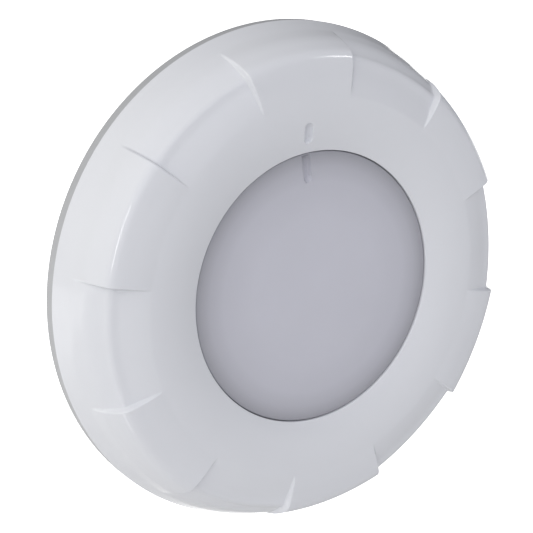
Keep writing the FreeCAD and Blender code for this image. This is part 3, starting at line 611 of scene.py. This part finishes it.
def frosted(name, colour):
    """Opal plastic with an etched face, with painted shade that makes it darker towards the rim, under the
    ring's lip.
    """
    material, nodes, links, shader = material_base(name, colour, 0.5)
    place = object_coordinates(nodes)
    cloud = noise(nodes, links, place, CLOUD_SCALE)
    cloudy = nodes.new("ShaderNodeMix")
    cloudy.data_type = "RGBA"
    cloudy.blend_type = "MULTIPLY"
    cloudy.inputs["Factor"].default_value = 1.0
    # The base colour carries painted shade, darker towards the lens's rim.
    links.new(painted_lens_shade(nodes, links, place, colour), cloudy.inputs["A"])
    links.new(two_shades(nodes, links, cloud, (CLOUD_DARK,) * 3, (CLOUD_LIGHT,) * 3), cloudy.inputs["B"])
    links.new(cloudy.outputs["Result"], shader.inputs["Base Color"])
    etch = noise(nodes, links, place, ETCH_SCALE, detail=2.0)
    links.new(spread(nodes, links, etch, ETCH_SMOOTH, ETCH_ROUGH), shader.inputs["Roughness"])
    relief(nodes, links, shader, etch, ETCH_STRENGTH, ETCH_DEPTH)
    shader.inputs["Subsurface Weight"].default_value = OPAL_WEIGHT
    shader.inputs["Subsurface Radius"].default_value = OPAL_REACH
    return material


# Plastics, rubbers and boards: colour, roughness, scale and depth in metres of the grain, scale of the
# flow marks, variation of the colour and, on some, weight of a clear coat.
MOULDED_LOOKS = {
    "ring_white": ((0.80, 0.81, 0.855), 0.11, 160.0, 0.00002, 9.0, 0.01),
    # The rim's grey is painted shade on its side face.
    "ring_rim_painted_shade": ((0.49, 0.495, 0.515), 0.7, 700.0, 0.00004, 40.0, 0.02),
    "bracket_plastic": ((0.60, 0.61, 0.63), 0.42, 800.0, 0.00005, 25.0, 0.03),
    "housing_plastic": ((0.70, 0.71, 0.72), 0.38, 700.0, 0.00004, 20.0, 0.03),
    "clamp_plastic": ((0.62, 0.63, 0.65), 0.4, 700.0, 0.00004, 30.0, 0.03),
    "gland_nylon": ((0.035, 0.035, 0.038), 0.36, 900.0, 0.00004, 60.0, 0.12),
    "seal_rubber": ((0.022, 0.022, 0.023), 0.6, 1500.0, 0.00006, 90.0, 0.2),
    "pad_grey": ((0.36, 0.40, 0.44), 0.75, 1600.0, 0.00006, 110.0, 0.05),
    "board_white": ((0.80, 0.81, 0.80), 0.33, 1200.0, 0.00002, 70.0, 0.02),
    "board_green": ((0.02, 0.16, 0.06), 0.3, 1200.0, 0.00003, 160.0, 0.25),
    "led_yellow": ((0.80, 0.62, 0.14), 0.18, 900.0, 0.00001, 300.0, 0.05, 0.4),
    "terminal_green": ((0.03, 0.24, 0.07), 0.4, 1000.0, 0.00003, 90.0, 0.08),
    "component_black": ((0.02, 0.02, 0.022), 0.5, 1800.0, 0.00005, 200.0, 0.2),
    "ferrite": ((0.05, 0.05, 0.052), 0.55, 1600.0, 0.00006, 260.0, 0.25),
    "fuse_glass": ((0.78, 0.80, 0.80), 0.08, 900.0, 0.00001, 200.0, 0.03, 0.6),
    "varistor_blue": ((0.02, 0.07, 0.30), 0.25, 900.0, 0.00006, 300.0, 0.1, 0.3),
    "lead_red": ((0.36, 0.012, 0.012), 0.4, 1500.0, 0.00003, 200.0, 0.08),
    "lead_black": ((0.012, 0.012, 0.012), 0.4, 1500.0, 0.00003, 200.0, 0.2),
}

# Metals: colour, roughness and how much the lines are squeezed along each axis.
BRUSHED_LOOKS = {
    "stainless": ((0.62, 0.62, 0.61), 0.28, (1, 6, 1)),
    "sink_aluminium": ((0.78, 0.79, 0.80), 0.34, (1, 1, 14)),
    "can_aluminium": ((0.66, 0.67, 0.69), 0.3, (1, 12, 1)),
    "winding_copper": ((0.70, 0.28, 0.10), 0.25, (1, 18, 1)),
}


def all_materials():
    """A material for each of the record's slots and one for the painted shade on the ring's rim, by name."""
    materials = {"lens_frosted": frosted("lens_frosted", LENS_COLOUR)}
    for name, look in MOULDED_LOOKS.items():
        materials[name] = moulded(name, *look)
    for name, look in BRUSHED_LOOKS.items():
        materials[name] = brushed(name, *look)
    return materials


# ---------------------------------------------------------------- stage, light and camera

VIEW_AZIMUTH = math.radians(-31.54)
VIEW_ELEVATION = math.radians(18.91)
VIEW_ROLL = math.radians(5.04)
VIEW_DISTANCE = 5.442 * RING_RADIUS * MM
AIM_RIGHT, AIM_UP = -0.0450 * RING_RADIUS * MM, 0.0225 * RING_RADIUS * MM
FOCAL_LENGTH = 92.0
SENSOR = 36.0
CLIP_START, CLIP_END = 0.01, 60


def add_camera():
    """The camera, to the viewer's left of the light and above it, leaning a little."""
    back = Vector(
        (
            math.sin(VIEW_AZIMUTH) * math.cos(VIEW_ELEVATION),
            -math.cos(VIEW_AZIMUTH) * math.cos(VIEW_ELEVATION),
            math.sin(VIEW_ELEVATION),
        )
    )
    level = Vector((math.cos(VIEW_AZIMUTH), math.sin(VIEW_AZIMUTH), 0))
    rise = back.cross(level)
    right = level * math.cos(VIEW_ROLL) - rise * math.sin(VIEW_ROLL)
    up = back.cross(right)
    place = back * VIEW_DISTANCE + right * AIM_RIGHT + up * AIM_UP
    data = bpy.data.cameras.new("camera")
    data.lens = FOCAL_LENGTH
    data.sensor_width = SENSOR
    data.clip_start = CLIP_START
    data.clip_end = CLIP_END
    camera = bpy.data.objects.new("camera", data)
    bpy.context.scene.collection.objects.link(camera)
    turn = Matrix((right, up, back)).transposed().to_4x4()
    camera.matrix_world = Matrix.Translation(place) @ turn
    bpy.context.scene.camera = camera


# Softboxes: name, direction from the light, distance, width, height and power.
SOFTBOXES = (
    ("strip_left", (-0.70, -0.65, 0.29), 2.2, 0.26, 0.66, 3.0),
    ("strip_low", (-0.69, -0.29, -0.66), 1.0, 0.14, 0.30, 0.3),
    ("lamp_right", (0.64, -0.60, 0.48), 2.2, 0.28, 0.24, 2.2),
)


def add_softbox(name, direction, distance, width, height, power):
    """An area light that looks at the pool light from a direction."""
    data = bpy.data.lights.new(name, "AREA")
    data.shape = "RECTANGLE"
    data.size = width
    data.size_y = height
    data.energy = power
    light = bpy.data.objects.new(name, data)
    light.visible_camera = False
    bpy.context.scene.collection.objects.link(light)
    way = Vector(direction).normalized()
    turn = way.to_track_quat("Z", "Y").to_matrix().to_4x4()
    light.matrix_world = Matrix.Translation(way * distance) @ turn


FLOOR_SIZE, FLOOR_HEIGHT = 30.0, -1.2
FLOOR_GREY, FLOOR_VARIATION, FLOOR_CLOUDS = 0.9, 0.01, 3.0
# How far behind the wall the floor starts to glow, and where its glow is whole.
GLOW_START, GLOW_WHOLE = 0.8, 1.5

# The surroundings: an even dim light, and bright areas given by direction, strength, tightness and tint.
COOL, NEUTRAL = (0.965, 0.975, 1.035), (0.99, 0.98, 0.90)
AMBIENT = 0.108
SOFT_LIGHTS = (
    ((-0.83, 0.05, 0.56), 1.07, 2.8, NEUTRAL),
    ((-0.57, -0.72, 0.40), 0.53, 3.5, COOL),
    ((0.05, -0.68, 0.73), 0.50, 2.7, COOL),
)


def add_floor():
    """A plain pale floor, well below the light. The part behind the wall glows."""
    mesh = bpy.data.meshes.new("floor")
    corners = ((-1, -1), (1, -1), (1, 1), (-1, 1))
    verts = [(x * FLOOR_SIZE, y * FLOOR_SIZE, FLOOR_HEIGHT) for x, y in corners]
    mesh.from_pydata(verts, [], [(0, 1, 2, 3)])
    floor = bpy.data.objects.new("floor", mesh)
    bpy.context.scene.collection.objects.link(floor)
    material, nodes, links, shader = material_base("floor_pale", (FLOOR_GREY,) * 3, 0.9)
    clouds = noise(nodes, links, object_coordinates(nodes), FLOOR_CLOUDS)
    dark, light = (FLOOR_GREY - FLOOR_VARIATION,) * 3, (FLOOR_GREY + FLOOR_VARIATION,) * 3
    mottle(nodes, links, shader, clouds, dark, light)
    place = nodes.new("ShaderNodeSeparateXYZ")
    links.new(object_coordinates(nodes), place.inputs["Vector"])
    glow = nodes.new("ShaderNodeMapRange")
    glow.interpolation_type = "SMOOTHSTEP"
    glow.inputs["From Min"].default_value = GLOW_START
    glow.inputs["From Max"].default_value = GLOW_WHOLE
    glow.inputs["To Max"].default_value = 1.0
    links.new(place.outputs["Y"], glow.inputs["Value"])
    links.new(glow.outputs["Result"], shader.inputs["Emission Strength"])
    shader.inputs["Emission Color"].default_value = (1, 1, 1, 1)
    mesh.materials.append(material)


def add_world():
    """Soft surroundings: an even dim light with three broad bright areas."""
    world = bpy.data.worlds.new("surroundings")
    bpy.context.scene.world = world
    world.use_nodes = True
    nodes, links = world.node_tree.nodes, world.node_tree.links

    def maths(operation, first, second):
        node = nodes.new("ShaderNodeMath")
        node.operation = operation
        links.new(first, node.inputs[0])
        node.inputs[1].default_value = second
        return node.outputs["Value"]

    def vector_maths(operation, first):
        node = nodes.new("ShaderNodeVectorMath")
        node.operation = operation
        if isinstance(first, tuple):
            node.inputs[0].default_value = first
        else:
            links.new(first, node.inputs[0])
        return node

    way = nodes.new("ShaderNodeTexCoord").outputs["Generated"]
    total = tuple(AMBIENT * channel for channel in COOL)
    for direction, strength, tightness, tint in SOFT_LIGHTS:
        facing = vector_maths("DOT_PRODUCT", way)
        facing.inputs[1].default_value = direction
        lobe = maths("POWER", maths("MAXIMUM", facing.outputs["Value"], 0.0), tightness)
        glow = vector_maths("SCALE", tint)
        links.new(maths("MULTIPLY", lobe, strength), glow.inputs["Scale"])
        both = vector_maths("ADD", total)
        links.new(glow.outputs["Vector"], both.inputs[1])
        total = both.outputs["Vector"]
    links.new(total, nodes["Background"].inputs["Color"])
    nodes["Background"].inputs["Strength"].default_value = 1.0


# ---------------------------------------------------------------- assembly


def paint_nodes(materials):
    """Gives every carried-over CAD node the material of its slot."""
    for entry in frame["record"]["subparts"]:
        node = frame["nodes"][entry["node"]]
        node.data.materials.clear()
        node.data.materials.append(materials[entry["material_slot"]])


add_camera()
add_floor()
add_world()
for softbox in SOFTBOXES:
    add_softbox(*softbox)
bpy.context.scene.view_settings.view_transform = "Standard"

MATERIALS = all_materials()
paint_nodes(MATERIALS)

shell = trim_ring_shell(MATERIALS["ring_white"], MATERIALS["ring_rim_painted_shade"])
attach(shell, "cover")
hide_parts("trim_ring")

for make in (cover_skirt, cover_lugs, cover_ribs):
    inner = make(MATERIALS["ring_white"])
    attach(inner, "cover")
    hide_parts("trim_ring")

window = lens_window(MATERIALS["lens_frosted"])
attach(window, "light_unit")
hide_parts("lens")
